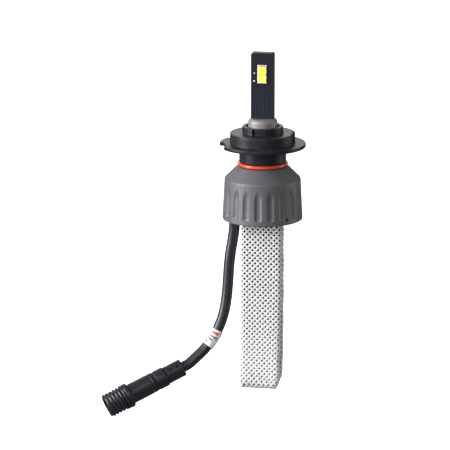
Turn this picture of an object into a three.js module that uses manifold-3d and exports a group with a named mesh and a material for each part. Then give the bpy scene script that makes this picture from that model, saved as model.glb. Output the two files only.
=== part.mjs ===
// LED headlight bulb of the H7 size, with a folded braid as its heat sink.
// Millimetres, +Z towards the tip of the emitter blade.
// The origin is on the lamp axis, at the seat face of the socket flange.
// The front LED package faces -Y. The flange's tab and the cable are on the -X side.
import * as THREE from "three";
import { mergeVertices } from "three/addons/utils/BufferGeometryUtils.js";
import Module from "manifold-3d";

const wasm = await Module();
wasm.setup();

// Clearances between pieces that touch on the real bulb
const GAP = 0.3;
const FILM = 0.05;

// Emitter blade
const BLADE_WIDTH = 8.7;
const BLADE_TOP = 35.1;
const BLADE_CORNER = 0.8;
const CORE_DEPTH = 1.4;
const CORE_BOTTOM = -24;
const BOARD_DEPTH = 1.05;
const BOARD_BOTTOM = 2;
const LIGHT_CENTRE = 27;
const LED_WIDTH = 3.5;
const LED_HEIGHT = 7;
const LED_DEPTH = 0.4;
const TILE_WIDTH = 2.9;
const TILE_HEIGHT = 3;
const TILE_PITCH = 3.2;
const TILE_DEPTH = 0.2;
const TILE_SHIFT = 0.2;
const PAD_RADIUS = 0.35;
const PAD_DEPTH = 0.15;
const PAD_X = -2.95;
const PAD_HEIGHTS = { upper: 27.2, lower: 24.2 };

// Spigot that the blade stands in
const SPIGOT_RADIUS = 5.66;
const SPIGOT_TOP = 9.6;
const SPIGOT_CHAMFER = 1;
const SPIGOT_BOTTOM = -15.2;

// Adapter collar
const COLLAR_BORE = 6.3;
const RING_RADIUS = 7.87;
const RING_TOP = 6.6;
const DRUM_RADIUS = 12.6;
const DRUM_TOP = 4;
const FLANGE_RADIUS = 16.5;
const FLANGE_DEPTH = 1.4;
const NOTCH_RADIUS = 14.8;
const NECK_RADIUS = 9;
const NECK_BOTTOM = -7.1;
const LIP_RADIUS = 8.1;
const LIP_BOTTOM = -8.6;
const RECESS_DEPTH = 0.9;
const RECESS_HALF_ANGLE = 17;
const RING_RECESS_ANGLE = -94;
const LUG_HEIGHT = 0.5;

// Sealing ring under the collar
const SEAL_RADIUS = 9;
const SEAL_THICKNESS = 0.72;
const SEAL_Z = -8;

// Housing
const HOUSING_TOP = -8.85;
const HOUSING_TOP_RADIUS = 9.7;
const SHOULDER_RADIUS = 14.6;
const SHOULDER_Z = -13.7;
const SKIRT_RADIUS = 15.45;
const HOUSING_BOTTOM = -29.6;
const POCKET_CEILING = -15.5;
const POCKET_RADIUS = 13.6;
const COVER_SEAT = -26.4;
const COVER_SEAT_RADIUS = 14.2;
const FLUTE_COUNT = 20;
const FLUTE_RADIUS = 2.2;
const FLUTE_DISTANCE = 17;
const FLUTE_BOTTOM = -28;
const FLUTE_FIRST_ANGLE = -87.25;
const SET_SCREW_ANGLE = -43.3;
const SET_SCREW_Z = -27.5;
const SET_SCREW_RADIUS = 0.55;

// Bottom cover and cable grommet
const COVER_RADIUS = 13.9;
const COVER_TOP = -26.7;
const COVER_BOTTOM = -28.6;
const GROMMET_RADIUS = 2.3;
const GROMMET_TOP = -25.2;
const GROMMET_BOTTOM = -29.9;

// Heat-sink braid
const BRAID_WIDTH = 15.5;
const BRAID_DEPTH = 8.4;
const BRAID_FRONT_LEAN = 3.1;
const BRAID_REAR_BULGE = 1;
const BRAID_ROOT_TOP = -20.5;
const BRAID_ROOT_BOTTOM = -29.9;
const BRAID_HINGE_Z = -34.4;
const BRAID_BOTTOM = -96.6;
const BRAID_CORNER = 1.3;

// Clamp inside the housing
const CLAMP_WIDTH = 19.4;
const CLAMP_DEPTH = 1.5;
const CLAMP_TOP = -20.9;
const CLAMP_BOTTOM = -25.1;
const CLAMP_SCREW_X = 8.75;
const CLAMP_SCREW_RADIUS = 0.6;
const CLAMP_HEAD_RADIUS = 1.1;
const CLAMP_HEAD_DEPTH = 0.8;

// Cable, from the grommet to the strain relief
const CABLE_RADIUS = 2.1;
const CABLE_SIDES = 10;
const CABLE_STEPS = 20;
const CABLE_ROUTE = [
  [-11.0, 0.0, -30.2],
  [-11.0, 0.0, -34.0],
  [-11.5, -0.1, -38.2],
  [-12.3, -0.3, -43.0],
  [-12.9, -0.7, -48.5],
  [-13.2, -1.2, -54.5],
  [-13.6, -1.8, -60.5],
  [-14.2, -2.4, -65.3],
  [-15.2, -3.2, -69.6],
  [-16.6, -4.2, -73.5],
  [-18.5, -5.5, -77.1],
  [-21.3, -7.2, -81.0],
  [-24.5, -9.2, -84.2],
  [-27.0, -10.7, -86.4],
  [-28.9, -11.7, -87.4],
];
const LABEL_SPAN = [0.698, 0.804];
const LABEL_INNER = 2.35;
const LABEL_OUTER = 2.6;
const LEAD_RADIUS = 0.45;
const LEAD_SIDES = 6;
const LEAD_STEPS = 16;

// Connector, along its own axis from the cable's end
const CONNECTOR_DIRECTION = new THREE.Vector3(-0.816, -0.422, -0.395).normalize();
const RELIEF_RADIUS = 3.45;
const RELIEF_LENGTH = 7.2;
const BACKSHELL_START = 7.5;
const BACKSHELL_END = 12.6;
const BACKSHELL_RADIUS = 3.85;
const SHELL_START = 12.9;
const SHELL_RADIUS = 3.9;
const STOP_START = 23;
const STOP_RADIUS = 4.9;
const THREAD_START = 25.4;
const THREAD_RADIUS = 4.8;
const THREAD_PITCH = 1.4;
const THREAD_DEPTH = 0.55;
const THREAD_TURNS = 5;
const SHELL_END = 33.3;
const SHELL_BORE = 3.5;
const BORE_START = 19.7;
const INSERT_END = 26;
const PIN_RADIUS = 0.5;
const PIN_OFFSET = 1.3;
const PIN_END = 31.5;

const degrees = THREE.MathUtils.degToRad;

// Materials

function finish(color, roughness, metalness) {
  return new THREE.MeshStandardMaterial({ color, roughness, metalness });
}

const greyAnodised = () => finish(0x77767b, 0.5, 0.6);
const pinkGreyAnodised = () => finish(0x857f85, 0.45, 0.6);
const blackAnodised = () => finish(0x34363a, 0.45, 0.5);
const copper = () => finish(0x6b4636, 0.4, 0.9);
const boardBlack = () => finish(0x20252b, 0.5, 0.1);
const packageWhite = () => finish(0xf0efe9, 0.5, 0);
const phosphor = () => finish(0xfcf060, 0.6, 0);
const solder = () => finish(0xd8d8da, 0.3, 0.9);
const sealRed = () => finish(0xd8482e, 0.5, 0);
const tinnedBraid = () => finish(0xcbc9ca, 0.4, 0.8);
const blackRubber = () => finish(0x24282e, 0.6, 0);
const blackPlastic = () => finish(0x2c3036, 0.4, 0);
const labelWhite = () => finish(0xe8eaec, 0.6, 0);
const steel = () => finish(0x9a9a9c, 0.35, 0.9);
const brass = () => finish(0xc9a45a, 0.3, 0.9);
const redInsulation = () => finish(0xb02820, 0.5, 0);
const blackInsulation = () => finish(0x1c1e21, 0.5, 0);

// Solids: every one is a closed geometry, with Z as its long or turning axis

function turned(profile, sides) {
  const outline = profile.map(([radius, z]) => new THREE.Vector2(radius, z));
  return new THREE.LatheGeometry(outline, sides).rotateX(Math.PI / 2);
}

function rod(radius, bottom, top, sides) {
  const geometry = new THREE.CylinderGeometry(radius, radius, top - bottom, sides);
  return geometry.rotateX(Math.PI / 2).translate(0, 0, (bottom + top) / 2);
}

function block(width, depth, bottom, top) {
  const geometry = new THREE.BoxGeometry(width, depth, top - bottom);
  return geometry.translate(0, 0, (bottom + top) / 2);
}

// A ring sector about Z, between two angles in degrees
function sector(inner, outer, from, to, bottom, top) {
  const shape = new THREE.Shape();
  shape.absarc(0, 0, outer, degrees(from), degrees(to), false);
  shape.absarc(0, 0, inner, degrees(to), degrees(from), true);
  const settings = { depth: top - bottom, bevelEnabled: false, curveSegments: 6 };
  return new THREE.ExtrudeGeometry(shape, settings).translate(0, 0, bottom);
}

// A plate that stands across Y, with its two upper corners rounded
function bladePlate(bottom, depth, y) {
  const half = BLADE_WIDTH / 2;
  const arcHeight = BLADE_TOP - BLADE_CORNER;
  const arcX = half - BLADE_CORNER;
  const shape = new THREE.Shape();
  shape.moveTo(-half, bottom);
  shape.lineTo(half, bottom);
  shape.absarc(arcX, arcHeight, BLADE_CORNER, 0, Math.PI / 2, false);
  shape.absarc(-arcX, arcHeight, BLADE_CORNER, Math.PI / 2, Math.PI, false);
  const settings = { depth, bevelEnabled: false, curveSegments: 4 };
  const geometry = new THREE.ExtrudeGeometry(shape, settings);
  return geometry.rotateX(Math.PI / 2).translate(0, y + depth / 2, 0);
}

// A section swept along a curve, closed at both ends
function swept(curve, shape, steps) {
  return new THREE.ExtrudeGeometry(shape, { steps, extrudePath: curve, curveSegments: 1 });
}

function roundSection(radius, sides) {
  const shape = new THREE.Shape();
  for (let side = 0; side < sides; side += 1) {
    const angle = (side / sides) * 2 * Math.PI;
    const corner = [radius * Math.cos(angle), radius * Math.sin(angle)];
    if (side === 0) shape.moveTo(...corner);
    else shape.lineTo(...corner);
  }
  shape.closePath();
  return shape;
}

function routeCurve(route) {
  return new THREE.CatmullRomCurve3(route.map((point) => new THREE.Vector3(...point)));
}

// Booleans

function asSolid(geometry) {
  const bare = geometry.clone();
  bare.deleteAttribute("normal");
  bare.deleteAttribute("uv");
  const merged = mergeVertices(bare, 1e-4);
  return new wasm.Manifold(
    new wasm.Mesh({
      numProp: 3,
      vertProperties: new Float32Array(merged.attributes.position.array),
      triVerts: new Uint32Array(merged.index.array),
    }),
  );
}

function asGeometry(solid) {
  const mesh = solid.getMesh();
  const geometry = new THREE.BufferGeometry();
  geometry.setAttribute("position", new THREE.BufferAttribute(mesh.vertProperties, 3));
  geometry.setIndex(new THREE.BufferAttribute(mesh.triVerts, 1));
  geometry.computeVertexNormals();
  return geometry;
}

function cut(geometry, tools) {
  const solid = tools.reduce((rest, tool) => rest.subtract(asSolid(tool)), asSolid(geometry));
  return asGeometry(solid);
}

function join(geometry, additions) {
  const solid = additions.reduce((sum, addition) => sum.add(asSolid(addition)), asSolid(geometry));
  return asGeometry(solid);
}

const lamp = new THREE.Group();

function add(name, geometry, material, parent = lamp) {
  const mesh = new THREE.Mesh(geometry, material);
  mesh.name = name;
  parent.add(mesh);
  return mesh;
}

// Emitter blade: the core plate, and a board with its LED package on each face

function emitterCore() {
  return bladePlate(CORE_BOTTOM, CORE_DEPTH, 0);
}

function addEmitterSide(side, turn) {
  const face = new THREE.Group();
  face.rotation.z = turn;
  lamp.add(face);
  const boardY = -(CORE_DEPTH / 2 + FILM + BOARD_DEPTH / 2);
  const boardFace = boardY - BOARD_DEPTH / 2 - FILM;
  add(`${side}_led_board`, bladePlate(BOARD_BOTTOM, BOARD_DEPTH, boardY), boardBlack(), face);

  const ledBottom = LIGHT_CENTRE - LED_HEIGHT / 2;
  const ledBlock = block(LED_WIDTH, LED_DEPTH, ledBottom, ledBottom + LED_HEIGHT);
  const led = add(`${side}_led_package`, ledBlock, packageWhite(), face);
  led.position.y = boardFace - LED_DEPTH / 2;

  const tileY = boardFace - LED_DEPTH - FILM - TILE_DEPTH / 2;
  for (const [place, direction] of [["upper", 1], ["lower", -1]]) {
    const centre = LIGHT_CENTRE - TILE_SHIFT + (direction * TILE_PITCH) / 2;
    const tileBlock = block(TILE_WIDTH, TILE_DEPTH, -TILE_HEIGHT / 2, TILE_HEIGHT / 2);
    const tile = add(`${side}_phosphor_tile_${place}`, tileBlock, phosphor(), face);
    tile.position.set(TILE_SHIFT / 2, tileY, centre);

    const disc = rod(PAD_RADIUS, -PAD_DEPTH / 2, PAD_DEPTH / 2, 12).rotateX(Math.PI / 2);
    const pad = add(`${side}_solder_pad_${place}`, disc, solder(), face);
    pad.position.set(PAD_X, boardFace - PAD_DEPTH / 2, PAD_HEIGHTS[place]);
  }
}

// Spigot: turned, with a slot for the blade and the lead wires

function spigot() {
  const body = turned(
    [
      [0, SPIGOT_BOTTOM],
      [SPIGOT_RADIUS, SPIGOT_BOTTOM],
      [SPIGOT_RADIUS, SPIGOT_TOP - SPIGOT_CHAMFER],
      [SPIGOT_RADIUS - SPIGOT_CHAMFER, SPIGOT_TOP],
      [0, SPIGOT_TOP],
    ],
    48,
  );
  const stackDepth = CORE_DEPTH + 2 * (FILM + BOARD_DEPTH);
  const slot = block(
    BLADE_WIDTH + 2 * GAP,
    stackDepth + 2 * GAP,
    SPIGOT_BOTTOM - 1,
    SPIGOT_TOP + 1,
  );
  return cut(body, [slot]);
}

// Adapter collar: ring, drum, notched flange, neck and inner lip in one turned piece

function collarBlank() {
  const edge = 0.45;
  return turned(
    [
      [COLLAR_BORE, LIP_BOTTOM],
      [LIP_RADIUS, LIP_BOTTOM],
      [LIP_RADIUS, NECK_BOTTOM],
      [NECK_RADIUS, NECK_BOTTOM],
      [NECK_RADIUS, -FLANGE_DEPTH],
      [FLANGE_RADIUS, -FLANGE_DEPTH],
      [FLANGE_RADIUS, 0],
      [DRUM_RADIUS, 0],
      [DRUM_RADIUS - 0.1, DRUM_TOP - edge],
      [DRUM_RADIUS - 0.1 - edge, DRUM_TOP],
      [RING_RADIUS, DRUM_TOP],
      [RING_RADIUS, RING_TOP - edge],
      [RING_RADIUS - edge, RING_TOP],
      [COLLAR_BORE, RING_TOP],
      [COLLAR_BORE, LIP_BOTTOM],
    ],
    60,
  );
}

function adapterCollar() {
  const over = 1;
  const flangeNotches = [[133, 155], [188, 215]].map(([from, to]) =>
    sector(NOTCH_RADIUS, FLANGE_RADIUS + over, from, to, -FLANGE_DEPTH - over, over),
  );
  const ringRecess = sector(
    RING_RADIUS - RECESS_DEPTH,
    RING_RADIUS + over,
    RING_RECESS_ANGLE - RECESS_HALF_ANGLE,
    RING_RECESS_ANGLE + RECESS_HALF_ANGLE,
    DRUM_TOP,
    RING_TOP + over,
  );
  const drumRecess = sector(
    DRUM_RADIUS - RECESS_DEPTH,
    DRUM_RADIUS + over,
    -RECESS_HALF_ANGLE,
    RECESS_HALF_ANGLE,
    0,
    DRUM_TOP + over,
  );
  const lug = sector(DRUM_RADIUS - over, FLANGE_RADIUS - 0.9, -85.6, -65.5, -0.5, LUG_HEIGHT);
  return join(cut(collarBlank(), [...flangeNotches, ringRecess, drumRecess]), [lug]);
}

// A round ring with a round section
function ring(radius, thickness, z, sides, sectionSides) {
  const profile = [];
  for (let corner = 0; corner <= sectionSides; corner += 1) {
    const angle = ((corner % sectionSides) / sectionSides) * 2 * Math.PI;
    profile.push([radius + thickness * Math.cos(angle), z + thickness * Math.sin(angle)]);
  }
  return turned(profile, sides);
}

// Housing: conical shoulder, flaring skirt with flutes, open pocket below

function housingBlank() {
  const round = 0.5;
  return turned(
    [
      [SPIGOT_RADIUS + GAP, HOUSING_TOP],
      [SPIGOT_RADIUS + GAP, POCKET_CEILING],
      [POCKET_RADIUS, POCKET_CEILING],
      [POCKET_RADIUS, COVER_SEAT],
      [COVER_SEAT_RADIUS, COVER_SEAT],
      [COVER_SEAT_RADIUS, HOUSING_BOTTOM],
      [SKIRT_RADIUS - round, HOUSING_BOTTOM],
      [SKIRT_RADIUS, HOUSING_BOTTOM + round],
      [SHOULDER_RADIUS + 0.05, SHOULDER_Z - round],
      [SHOULDER_RADIUS - 0.35, SHOULDER_Z + round],
      [HOUSING_TOP_RADIUS, HOUSING_TOP - round],
      [HOUSING_TOP_RADIUS - round, HOUSING_TOP],
      [SPIGOT_RADIUS + GAP, HOUSING_TOP],
    ],
    60,
  );
}

function flute(index) {
  const top = SHOULDER_Z - 0.8;
  const cutter = turned(
    [
      [0, FLUTE_BOTTOM],
      [FLUTE_RADIUS - 0.75, FLUTE_BOTTOM + 0.3],
      [FLUTE_RADIUS - 0.2, FLUTE_BOTTOM + 1],
      [FLUTE_RADIUS, FLUTE_BOTTOM + 2],
      [FLUTE_RADIUS, top],
      [0, top],
    ],
    12,
  );
  cutter.translate(FLUTE_DISTANCE, 0, 0);
  return cutter.rotateZ(degrees(FLUTE_FIRST_ANGLE + (index * 360) / FLUTE_COUNT));
}

// A rod that points outwards along the set screw's axis
function setScrewRod(radius, from, to, sides) {
  const geometry = rod(radius, from, to, sides).rotateY(Math.PI / 2);
  return geometry.rotateZ(degrees(SET_SCREW_ANGLE)).translate(0, 0, SET_SCREW_Z);
}

function setScrewHole() {
  return setScrewRod(SET_SCREW_RADIUS + 0.15, 12.3, SKIRT_RADIUS + 1, 12);
}

function housing() {
  const flutes = Array.from({ length: FLUTE_COUNT }, (_, index) => flute(index));
  return cut(housingBlank(), [...flutes, setScrewHole()]);
}

// Bottom cover: a disc with the braid's slot and the cable's hole

function bottomCover() {
  const disc = rod(COVER_RADIUS, COVER_BOTTOM, COVER_TOP, 60);
  const slot = block(BRAID_WIDTH + 0.5, BRAID_DEPTH + 0.5, COVER_BOTTOM - 1, COVER_TOP + 1);
  const hole = rod(GROMMET_RADIUS + 0.15, COVER_BOTTOM - 1, COVER_TOP + 1, 20);
  hole.translate(CABLE_ROUTE[0][0], 0, 0);
  return cut(disc, [slot, hole, setScrewHole()]);
}

function cableGrommet() {
  const plug = turned(
    [
      [0, GROMMET_BOTTOM],
      [GROMMET_RADIUS, GROMMET_BOTTOM],
      [GROMMET_RADIUS, GROMMET_TOP - 0.8],
      [GROMMET_RADIUS - 0.6, GROMMET_TOP],
      [0, GROMMET_TOP],
    ],
    20,
  );
  return plug.translate(CABLE_ROUTE[0][0], 0, 0);
}

// Braid: the root is clamped on the core, the folded run hangs from it and bends

function braidRoot() {
  const body = block(BRAID_WIDTH, BRAID_DEPTH, BRAID_ROOT_BOTTOM, BRAID_ROOT_TOP);
  const slot = block(BLADE_WIDTH + 0.4, CORE_DEPTH + 0.4, CORE_BOTTOM - 0.3, BRAID_ROOT_TOP + 1);
  return cut(body, [slot]);
}

function braidRun() {
  const half = BRAID_DEPTH / 2;
  const front = half + BRAID_FRONT_LEAN;
  const rear = half + BRAID_REAR_BULGE;
  const shape = new THREE.Shape();
  shape.absarc(0, BRAID_HINGE_Z, half, 0, Math.PI, false);
  shape.quadraticCurveTo(-half, BRAID_BOTTOM + 20, -front, BRAID_BOTTOM + BRAID_CORNER);
  shape.quadraticCurveTo(-front, BRAID_BOTTOM, BRAID_CORNER - front, BRAID_BOTTOM);
  shape.lineTo(-1, BRAID_BOTTOM + 0.5);
  shape.quadraticCurveTo(rear, BRAID_BOTTOM + 1.8, rear, BRAID_BOTTOM + 6);
  shape.quadraticCurveTo(rear, BRAID_BOTTOM + 30, half, BRAID_HINGE_Z);
  const settings = { depth: BRAID_WIDTH, bevelEnabled: false, curveSegments: 8 };
  const geometry = new THREE.ExtrudeGeometry(shape, settings);
  const across = new THREE.Vector3(1, 0, 0);
  const deep = new THREE.Vector3(0, 1, 0);
  const up = new THREE.Vector3(0, 0, 1);
  geometry.applyMatrix4(new THREE.Matrix4().makeBasis(deep, up, across));
  return geometry.translate(-BRAID_WIDTH / 2, 0, 0);
}

// Clamp: two plates across the braid's root, pulled together by two screws

function clampPlate(side) {
  const plate = block(CLAMP_WIDTH, CLAMP_DEPTH, CLAMP_BOTTOM, CLAMP_TOP);
  const middle = (CLAMP_BOTTOM + CLAMP_TOP) / 2;
  const holes = [-CLAMP_SCREW_X, CLAMP_SCREW_X].map((x) => {
    const hole = rod(CLAMP_SCREW_RADIUS + 0.15, -2, 2, 12).rotateX(Math.PI / 2);
    return hole.translate(x, 0, middle);
  });
  const y = side * (BRAID_DEPTH / 2 + 0.1 + CLAMP_DEPTH / 2);
  return cut(plate, holes).translate(0, y, 0);
}

function clampScrew(x) {
  const plateFace = BRAID_DEPTH / 2 + 0.1 + CLAMP_DEPTH;
  const head = plateFace + 0.1;
  const screw = turned(
    [
      [0, -plateFace],
      [CLAMP_SCREW_RADIUS, -plateFace],
      [CLAMP_SCREW_RADIUS, head],
      [CLAMP_HEAD_RADIUS, head],
      [CLAMP_HEAD_RADIUS, head + CLAMP_HEAD_DEPTH],
      [0, head + CLAMP_HEAD_DEPTH],
    ],
    12,
  );
  return screw.rotateX(Math.PI / 2).translate(x, 0, (CLAMP_BOTTOM + CLAMP_TOP) / 2);
}

// Lead wires: up beside the clamp, over the braid's root and into the spigot's slot

function leadWire(side) {
  const cableX = CABLE_ROUTE[0][0];
  const slotY = side * (CORE_DEPTH / 2 + 0.65);
  const route = [
    [cableX, side * 0.8, GROMMET_TOP + 0.2],
    [cableX, side * 0.8, -21.5],
    [cableX + 1, side * 0.95, -18.6],
    [-6.4, side * 1.2, -17.3],
    [-3.6, slotY, -16.1],
    [-3, slotY, -12],
    [-3, slotY, BOARD_BOTTOM - 0.3],
  ];
  return swept(routeCurve(route), roundSection(LEAD_RADIUS, LEAD_SIDES), LEAD_STEPS);
}

// Cable and its wrap label

const cableCurve = routeCurve(CABLE_ROUTE);

function cable() {
  return swept(cableCurve, roundSection(CABLE_RADIUS, CABLE_SIDES), CABLE_STEPS);
}

function cableLabel() {
  const [start, end] = LABEL_SPAN;
  const points = Array.from({ length: 5 }, (_, index) =>
    cableCurve.getPointAt(start + ((end - start) * index) / 4),
  );
  const section = roundSection(LABEL_OUTER, 12);
  section.holes.push(roundSection(LABEL_INNER, 12));
  return swept(new THREE.CatmullRomCurve3(points), section, 4);
}

// Connector: each piece is turned about the connector's own axis

function strainRelief() {
  return turned(
    [
      [0, 0],
      [RELIEF_RADIUS - 0.6, 0],
      [RELIEF_RADIUS, 0.6],
      [RELIEF_RADIUS, RELIEF_LENGTH],
      [0, RELIEF_LENGTH],
    ],
    20,
  );
}

function backshell() {
  return turned(
    [
      [0, BACKSHELL_START],
      [BACKSHELL_RADIUS - 0.4, BACKSHELL_START],
      [BACKSHELL_RADIUS, BACKSHELL_START + 0.4],
      [BACKSHELL_RADIUS, BACKSHELL_END],
      [0, BACKSHELL_END],
    ],
    24,
  );
}

function connectorShell() {
  const root = THREAD_RADIUS - THREAD_DEPTH;
  const profile = [
    [0, SHELL_START],
    [SHELL_RADIUS, SHELL_START],
    [SHELL_RADIUS, STOP_START],
    [STOP_RADIUS, STOP_START + 0.4],
    [STOP_RADIUS, THREAD_START - 0.4],
    [root, THREAD_START - 0.2],
  ];
  for (let turn = 0; turn < THREAD_TURNS; turn += 1) {
    const z = THREAD_START + 0.75 + turn * THREAD_PITCH;
    profile.push(
      [root, z],
      [THREAD_RADIUS, z + 0.4],
      [THREAD_RADIUS, z + 0.8],
      [root, z + 1.2],
    );
  }
  profile.push([root, SHELL_END], [SHELL_BORE, SHELL_END], [SHELL_BORE, BORE_START], [0, BORE_START]);
  return turned(profile, 24);
}

function connectorInsert() {
  const holes = [-PIN_OFFSET, PIN_OFFSET].map((x) =>
    rod(PIN_RADIUS + 0.1, BORE_START + 1, INSERT_END + 1, 12).translate(x, 0, 0),
  );
  return cut(rod(SHELL_BORE - 0.2, BORE_START + 0.2, INSERT_END, 24), holes);
}

function contactPin(x) {
  const pin = turned(
    [
      [0, BORE_START + 1.2],
      [PIN_RADIUS, BORE_START + 1.2],
      [PIN_RADIUS, PIN_END - 0.4],
      [PIN_RADIUS - 0.3, PIN_END],
      [0, PIN_END],
    ],
    10,
  );
  return pin.translate(x, 0, 0);
}

function addConnector() {
  const connector = new THREE.Group();
  const cableEnd = new THREE.Vector3(...CABLE_ROUTE.at(-1));
  connector.position.copy(cableEnd).addScaledVector(CONNECTOR_DIRECTION, GAP);
  connector.quaternion.setFromUnitVectors(new THREE.Vector3(0, 0, 1), CONNECTOR_DIRECTION);
  lamp.add(connector);
  add("strain_relief", strainRelief(), blackRubber(), connector);
  add("connector_backshell", backshell(), blackPlastic(), connector);
  add("connector_shell", connectorShell(), blackPlastic(), connector);
  add("connector_insert", connectorInsert(), blackPlastic(), connector);
  add("contact_pin_positive", contactPin(-PIN_OFFSET), brass(), connector);
  add("contact_pin_negative", contactPin(PIN_OFFSET), brass(), connector);
  const sealRadius = THREAD_RADIUS - THREAD_DEPTH + 0.4;
  const seal = ring(sealRadius, 0.35, THREAD_START + 0.2, 24, 8);
  add("connector_seal", seal, blackRubber(), connector);
}

// Assembly

add("emitter_core", emitterCore(), copper());
addEmitterSide("front", 0);
addEmitterSide("rear", Math.PI);
add("spigot", spigot(), pinkGreyAnodised());
add("adapter_collar", adapterCollar(), blackAnodised());
add("seal_ring", ring(SEAL_RADIUS, SEAL_THICKNESS, SEAL_Z, 48, 10), sealRed());
add("housing", housing(), greyAnodised());
add("bottom_cover", bottomCover(), greyAnodised());
add("set_screw", setScrewRod(SET_SCREW_RADIUS, 12.6, SKIRT_RADIUS - 0.4, 12), steel());
add("cable_grommet", cableGrommet(), blackRubber());
add("braid_root", braidRoot(), tinnedBraid());
add("braid_strap", braidRun(), tinnedBraid());
add("clamp_plate_front", clampPlate(-1), steel());
add("clamp_plate_rear", clampPlate(1), steel());
add("clamp_screw_left", clampScrew(-CLAMP_SCREW_X), steel());
add("clamp_screw_right", clampScrew(CLAMP_SCREW_X), steel());
add("lead_wire_positive", leadWire(-1), redInsulation());
add("lead_wire_negative", leadWire(1), blackInsulation());
add("cable", cable(), blackRubber());
add("cable_label", cableLabel(), labelWhite());
addConnector();

export default lamp;
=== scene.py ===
"""LED headlight bulb: the looks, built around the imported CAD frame.

Shapes are given in millimetres, +Z to the tip of the emitter, and become metres when a piece is made.
"""
import math
import bpy
import numpy as np
from mathutils import Matrix, Vector


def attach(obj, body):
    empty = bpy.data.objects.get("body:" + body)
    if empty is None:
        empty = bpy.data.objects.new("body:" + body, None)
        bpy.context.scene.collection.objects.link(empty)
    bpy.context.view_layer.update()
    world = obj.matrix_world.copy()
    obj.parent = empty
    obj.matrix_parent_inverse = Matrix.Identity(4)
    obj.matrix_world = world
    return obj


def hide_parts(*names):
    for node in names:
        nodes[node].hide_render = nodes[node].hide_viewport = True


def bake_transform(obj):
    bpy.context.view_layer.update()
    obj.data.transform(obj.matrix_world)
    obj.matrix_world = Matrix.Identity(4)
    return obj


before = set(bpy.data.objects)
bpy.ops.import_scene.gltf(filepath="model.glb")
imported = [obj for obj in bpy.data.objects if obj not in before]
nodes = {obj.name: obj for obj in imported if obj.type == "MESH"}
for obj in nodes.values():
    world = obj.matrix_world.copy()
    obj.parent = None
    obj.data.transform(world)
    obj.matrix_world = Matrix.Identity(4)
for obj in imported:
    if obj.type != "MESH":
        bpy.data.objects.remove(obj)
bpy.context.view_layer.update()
scene = bpy.context.scene
MM = 0.001

# Camera: a long lens, a little to the right of the front and a little above
CAMERA_AZIMUTH = 10
CAMERA_ELEVATION = 14
CAMERA_DISTANCE = 1.2
CAMERA_TARGET = (-14.2 * MM, -2.5 * MM, -32.5 * MM)
VIEW_WIDTH = 173.2 * MM

# Cable, in metres, from the grommet to the strain relief
CABLE_DIAMETER = 0.0042
CABLE_ROUTE = [
    (-0.0110, 0.0000, -0.0302),
    (-0.0110, 0.0000, -0.0340),
    (-0.0115, -0.0001, -0.0382),
    (-0.0123, -0.0003, -0.0430),
    (-0.0129, -0.0007, -0.0485),
    (-0.0132, -0.0012, -0.0545),
    (-0.0136, -0.0018, -0.0605),
    (-0.0142, -0.0024, -0.0653),
    (-0.0152, -0.0032, -0.0696),
    (-0.0166, -0.0042, -0.0735),
    (-0.0185, -0.0055, -0.0771),
    (-0.0213, -0.0072, -0.0810),
    (-0.0245, -0.0092, -0.0842),
    (-0.0270, -0.0107, -0.0864),
    (-0.0289, -0.0117, -0.0874),
]
LABEL_SPAN = (0.698, 0.804)
CONNECTOR_DIRECTION = Vector((-0.816, -0.422, -0.395)).normalized()

# Connector, in millimetres from the end of the cable
RELIEF_RADIUS = 3.45
RELIEF_LENGTH = 7.2
RELIEF_HOLES = (2.4, 5.0)
RELIEF_HOLE_RADIUS = 0.34
THREAD_START = 25.4
THREAD_PITCH = 1.4
THREAD_ROOT = 4.3
THREAD_CREST = 4.78
SHELL_BORE = 3.5
SHELL_END = 33.3
PIN_X = 1.3

# Emitter blade
LED_HALF_WIDTH = 1.75
LED_BOTTOM = 23.5
LED_TOP = 30.5
LED_MIDDLE = 26.8
BOARD_FACE = -1.85
PACKAGE_FACE = BOARD_FACE - 0.4
TILE_X = 0.1
TILE_HALF_WIDTH = 1.45
TILE_HALF_HEIGHT = 1.47
BEAD_X = -2.95
BEAD_MIDDLE = 25.7

# Collar
BORE = 6.3
RING_RADIUS = 7.87
RING_TOP = 6.6
DRUM_RADIUS = 12.6
DRUM_TOP = 4
FLANGE_RADIUS = 16.5
NECK_RADIUS = 9.0
FLANGE_DEPTH = 1.4
RECESS_DEPTH = 0.9
NOTCH_DEPTH = 1.7

# Housing
SET_SCREW_ANGLE = -43.3
SET_SCREW_HEIGHT = -27.5
SET_SCREW_HOLE = 0.62
FLUTE_COUNT = 20
FLUTE_RADIUS = 2.2
FLUTE_DISTANCE = 17.0
FLUTE_FIRST_ANGLE = -87.25
FLUTE_BOTTOM = -28.0
FLUTE_FADE = -20
SKIRT_FLARE = 0.054

# Braid: ribbons that are wider near the fold
BRAID_WIDTH = 16.0
STRANDS = 17
STRAND_WIDTH = 0.73
STRAND_WIDTH_LOW = 0.88
STRAND_THICKNESS = 0.17
STRAND_WAVE = 0.1
# Depth of the sheet of painted shade under the strands
LINING_DEPTH = 0.5


def add_camera():
    azimuth = math.radians(CAMERA_AZIMUTH)
    elevation = math.radians(CAMERA_ELEVATION)
    back = Vector((
        math.sin(azimuth) * math.cos(elevation),
        -math.cos(azimuth) * math.cos(elevation),
        math.sin(elevation),
    ))
    data = bpy.data.cameras.new("camera")
    data.sensor_width = 36
    data.lens = data.sensor_width * CAMERA_DISTANCE / VIEW_WIDTH
    data.clip_end = 200
    camera = bpy.data.objects.new("camera", data)
    camera.location = Vector(CAMERA_TARGET) + back * CAMERA_DISTANCE
    camera.rotation_mode = "QUATERNION"
    camera.rotation_quaternion = (-back).to_track_quat("-Z", "Y")
    scene.collection.objects.link(camera)
    scene.camera = camera


# Materials

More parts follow.
